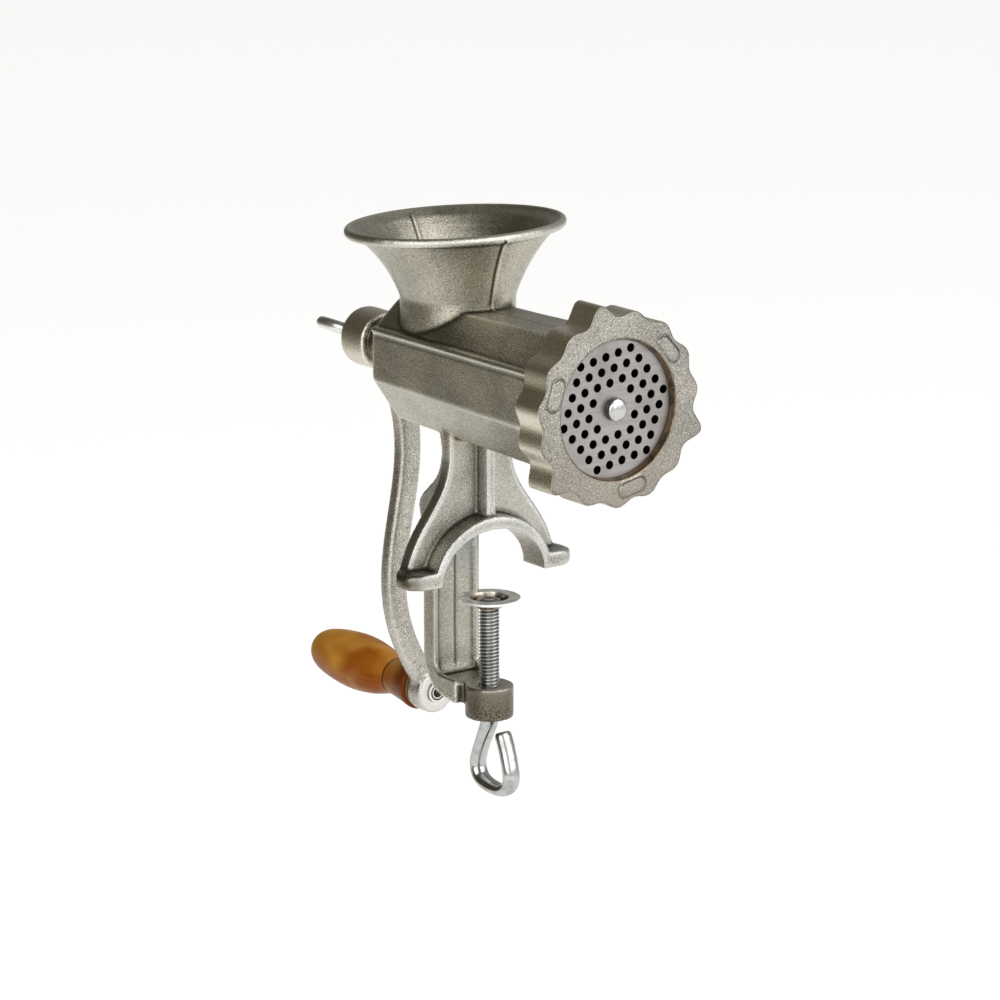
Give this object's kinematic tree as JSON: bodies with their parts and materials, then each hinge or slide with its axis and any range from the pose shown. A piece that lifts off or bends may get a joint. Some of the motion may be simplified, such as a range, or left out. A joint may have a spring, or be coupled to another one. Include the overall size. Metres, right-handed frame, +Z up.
{
  "type": "manual meat grinder",
  "caption": "Hand-cranked cast meat grinder with oval hopper, lobed ring nut, perforated plate, table clamp and S-shaped crank with wooden grip.",
  "frame": {"origin": "on the clamp screw's axis, level with the underside of the two feet, where the table's top is", "axes": "+Z up along the clamp screw, -Y towards the outlet, +Y towards the crank, X across the hopper"},
  "size_m": [0.0934, 0.2341, 0.2236],
  "materials": {
    "casting": "tinned, sand-cast grain",
    "plate_steel": "ground",
    "steel": "bright",
    "zinc": "bright zinc plate",
    "fibre": "pressed fibre",
    "wood": "varnished, turned"
  },
  "bodies": {
    "frame": {"barrel": "casting", "hopper": "casting", "clamp_stand": "casting", "clamp_arm": "casting", "plate_key_pin": "steel", "thrust_washer": "fibre"},
    "drive": {"auger": "casting", "auger_stud": "steel", "knife": "steel"},
    "crank": {"crank_arm": "casting", "grip_rivet": "zinc", "grip_washer": "fibre"},
    "crank_screw": {"crank_screw": "zinc"},
    "grip": {"grip": "wood"},
    "plate": {"grinding_plate": "plate_steel"},
    "ring": {"ring_nut": "casting"},
    "pad": {"clamp_pad": "zinc"},
    "screw": {"clamp_screw": "zinc"}
  },
  "joints": [
    {"name": "crank_turn", "type": "hinge", "parent": "frame", "child": "drive", "pos_m": [0, 0, 0.081], "axis": [0, 1, 0], "continuous": true},
    {"name": "crank_draw", "type": "slide", "parent": "drive", "child": "crank", "axis": [0, 1, 0], "range_m": [0, 0.011]},
    {"name": "crank_screw_turn", "type": "hinge", "parent": "crank", "child": "crank_screw", "pos_m": [0, 0.1, 0.081], "axis": [0, 1, 0], "range_deg": [0, 2540]},
    {"name": "grip_spin", "type": "hinge", "parent": "crank", "child": "grip", "pos_m": [0.02401, 0.115, -0.06727], "axis": [0, 1, 0], "continuous": true},
    {"name": "plate_slide", "type": "slide", "parent": "frame", "child": "plate", "axis": [0, -1, 0], "range_m": [0, 0.008]},
    {"name": "ring_turn", "type": "hinge", "parent": "plate", "child": "ring", "pos_m": [0, -0.075, 0.081], "axis": [0, -1, 0], "range_deg": [0, 955]},
    {"name": "pad_slide", "type": "slide", "parent": "frame", "child": "pad", "axis": [0, 0, 1], "range_m": [-0.03, 0.003]},
    {"name": "screw_turn", "type": "hinge", "parent": "pad", "child": "screw", "pos_m": [0, 0, 0], "axis": [0, 0, 1], "range_deg": [-7650, 765]}
  ],
  "couplings": [
    {"joint": "crank_draw", "follows": "crank_screw_turn", "m_per_rad": 0.00022457},
    {"joint": "plate_slide", "follows": "ring_turn", "m_per_rad": 0.00047746},
    {"joint": "pad_slide", "follows": "screw_turn", "m_per_rad": 0.00022457}
  ]
}
